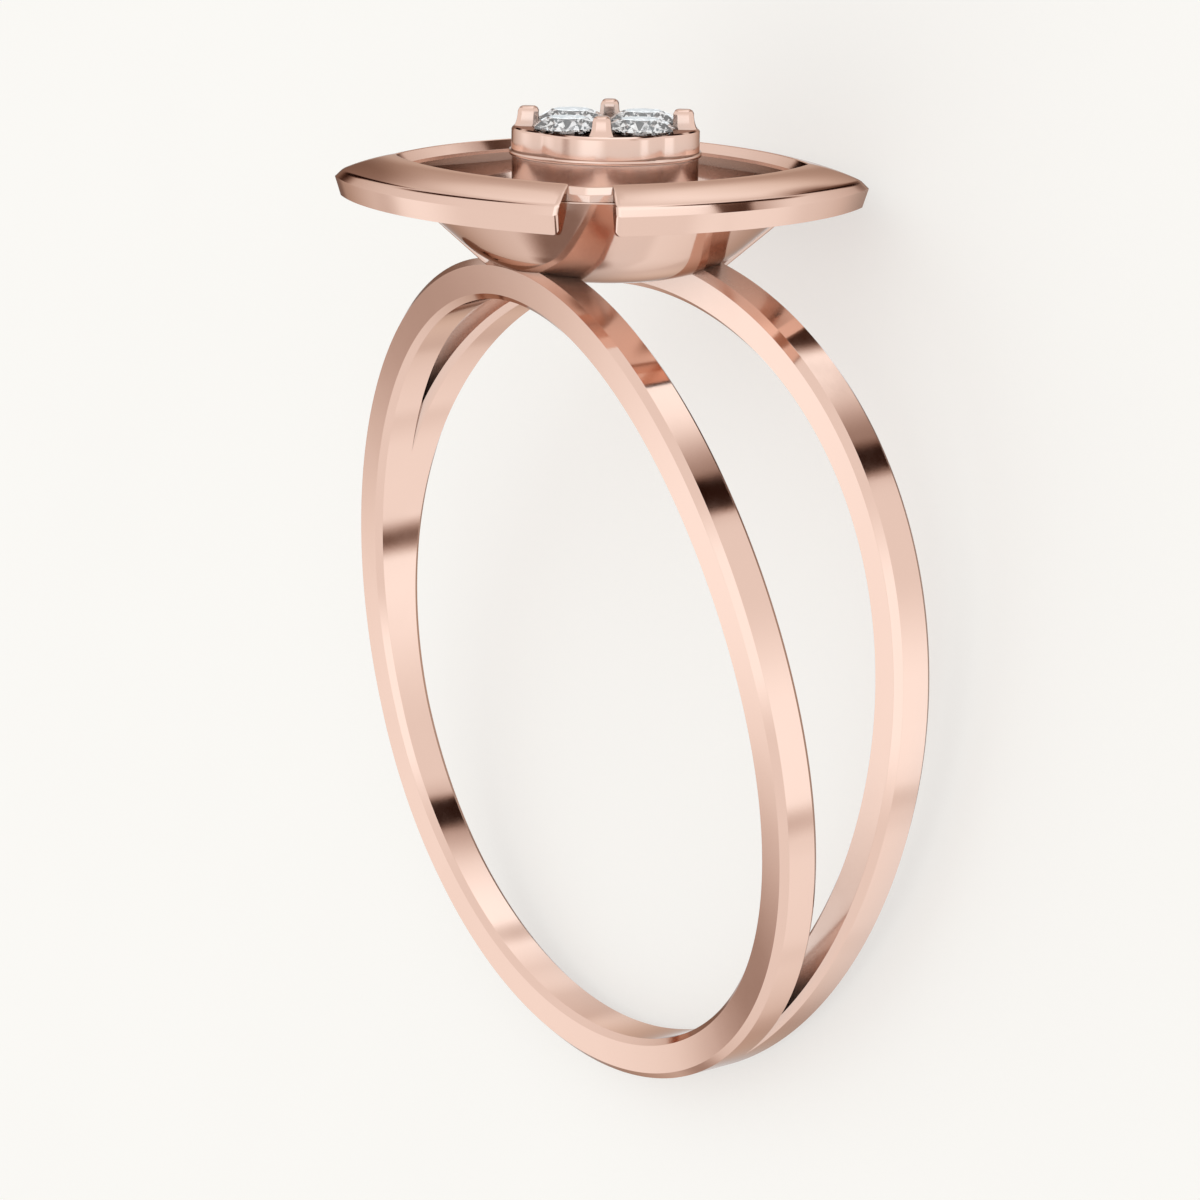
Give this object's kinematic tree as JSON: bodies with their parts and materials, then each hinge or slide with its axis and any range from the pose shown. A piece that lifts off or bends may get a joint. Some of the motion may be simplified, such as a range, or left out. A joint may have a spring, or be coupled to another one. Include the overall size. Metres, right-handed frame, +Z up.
{
  "type": "split shank ring",
  "caption": "Split shank ring whose strands part from a joined side and carry a cushion-shaped dish head, with a raised round setting of prong-held brilliant stones.",
  "frame": {"origin": "centre of the finger hole, with the ring lying on its back on a table", "axes": "+Z up from the table, +Y from the finger hole towards the head, +X across the ring; the finger hole's axis leans about 14 degrees from +Z because the ring rests on its head's rim and the foot of its shank"},
  "size_m": [0.0192, 0.0222, 0.0106],
  "materials": {
    "rose_gold": "mirror-polished rose gold",
    "diamond": "clear faceted brilliant"
  },
  "bodies": {
    "root": {"ring_body": "rose_gold", "stone_front": "diamond", "stone_right": "diamond", "stone_back": "diamond", "stone_left": "diamond"}
  },
  "joints": []
}
